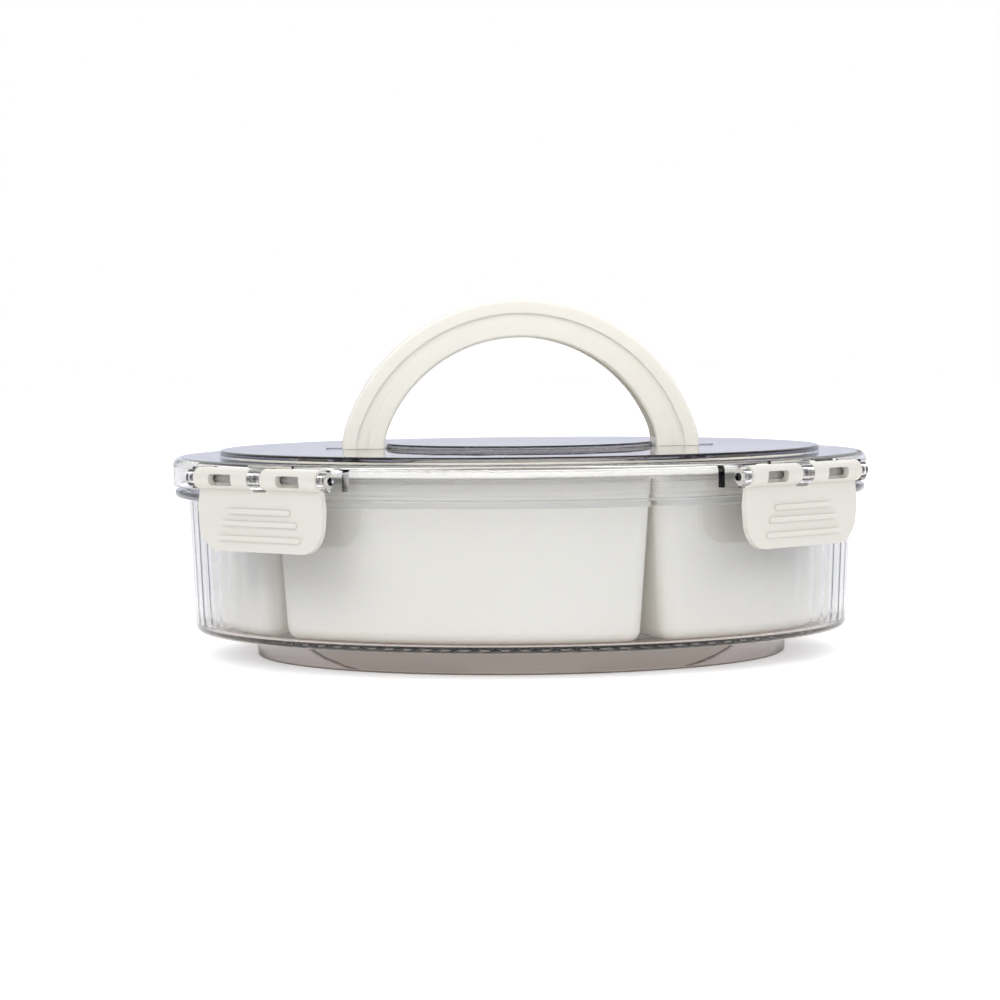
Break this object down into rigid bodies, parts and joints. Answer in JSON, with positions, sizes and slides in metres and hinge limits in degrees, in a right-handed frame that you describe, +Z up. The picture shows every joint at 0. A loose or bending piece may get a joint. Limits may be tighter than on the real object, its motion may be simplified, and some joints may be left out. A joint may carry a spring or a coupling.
{
  "type": "chip and dip server",
  "caption": "Round lidded chip and dip server: clear bowl, fan-shaped trays round a dip bowl, clear stepped lid with an arch handle and locking clips.",
  "frame": {"origin": "centre of the foot ring's underside, on the table", "axes": "+Z up, front is -Y, the handle's arch lies in the XZ plane"},
  "size_m": [0.272, 0.272, 0.1381],
  "materials": {
    "clear_bowl": "clear moulded plastic, glossy",
    "clear_lid": "clear moulded plastic, glossy",
    "clear_pin": "clear rod, glossy",
    "seal": "translucent silicone, soft satin",
    "tray_white": "white moulded plastic, satin gloss",
    "ivory_handle": "ivory moulded plastic, satin",
    "ivory_clip": "ivory moulded plastic, satin"
  },
  "bodies": {
    "base": {"base_bowl": "clear_bowl"},
    "cover": {"lid": "clear_lid", "lid_seal": "seal", "handle": "ivory_handle", "pin_front_right": "clear_pin", "pin_back_right": "clear_pin", "pin_back_left": "clear_pin", "pin_front_left": "clear_pin"},
    "dip": {"dip_bowl": "tray_white"},
    "tray_body_1": {"tray_1": "tray_white"},
    "tray_body_2": {"tray_2": "tray_white"},
    "tray_body_3": {"tray_3": "tray_white"},
    "tray_body_4": {"tray_4": "tray_white"},
    "tray_body_5": {"tray_5": "tray_white"},
    "clip_body_front_right": {"clip_front_right": "ivory_clip"},
    "clip_body_back_right": {"clip_back_right": "ivory_clip"},
    "clip_body_back_left": {"clip_back_left": "ivory_clip"},
    "clip_body_front_left": {"clip_front_left": "ivory_clip"}
  },
  "joints": [
    {"name": "lid_lift", "type": "slide", "parent": "base", "child": "cover", "axis": [0, 0, 1], "range_m": [0, 0.15]},
    {"name": "tray_1_lift", "type": "slide", "parent": "base", "child": "tray_body_1", "axis": [0, 0, 1], "range_m": [0, 0.075]},
    {"name": "tray_2_lift", "type": "slide", "parent": "base", "child": "tray_body_2", "axis": [0, 0, 1], "range_m": [0, 0.075]},
    {"name": "tray_3_lift", "type": "slide", "parent": "base", "child": "tray_body_3", "axis": [0, 0, 1], "range_m": [0, 0.075]},
    {"name": "tray_4_lift", "type": "slide", "parent": "base", "child": "tray_body_4", "axis": [0, 0, 1], "range_m": [0, 0.075]},
    {"name": "tray_5_lift", "type": "slide", "parent": "base", "child": "tray_body_5", "axis": [0, 0, 1], "range_m": [0, 0.075]},
    {"name": "dip_bowl_lift", "type": "slide", "parent": "base", "child": "dip", "axis": [0, 0, 1], "range_m": [0, 0.075]},
    {"name": "clip_front_right_hinge", "type": "hinge", "parent": "cover", "child": "clip_body_front_right", "pos_m": [0.09914, -0.09914, 0.0727], "axis": [-0.7071, -0.7071, 0], "range_deg": [0, 130]},
    {"name": "clip_back_right_hinge", "type": "hinge", "parent": "cover", "child": "clip_body_back_right", "pos_m": [0.09914, 0.09914, 0.0727], "axis": [0.7071, -0.7071, 0], "range_deg": [0, 130]},
    {"name": "clip_back_left_hinge", "type": "hinge", "parent": "cover", "child": "clip_body_back_left", "pos_m": [-0.09914, 0.09914, 0.0727], "axis": [0.7071, 0.7071, 0], "range_deg": [0, 130]},
    {"name": "clip_front_left_hinge", "type": "hinge", "parent": "cover", "child": "clip_body_front_left", "pos_m": [-0.09914, -0.09914, 0.0727], "axis": [-0.7071, 0.7071, 0], "range_deg": [0, 130]}
  ],
  "couplings": [
    {"joint": "tray_1_lift", "follows": "lid_lift", "ratio": 0.5},
    {"joint": "tray_2_lift", "follows": "lid_lift", "ratio": 0.5},
    {"joint": "tray_3_lift", "follows": "lid_lift", "ratio": 0.5},
    {"joint": "tray_4_lift", "follows": "lid_lift", "ratio": 0.5},
    {"joint": "tray_5_lift", "follows": "lid_lift", "ratio": 0.5},
    {"joint": "dip_bowl_lift", "follows": "lid_lift", "ratio": 0.5}
  ]
}
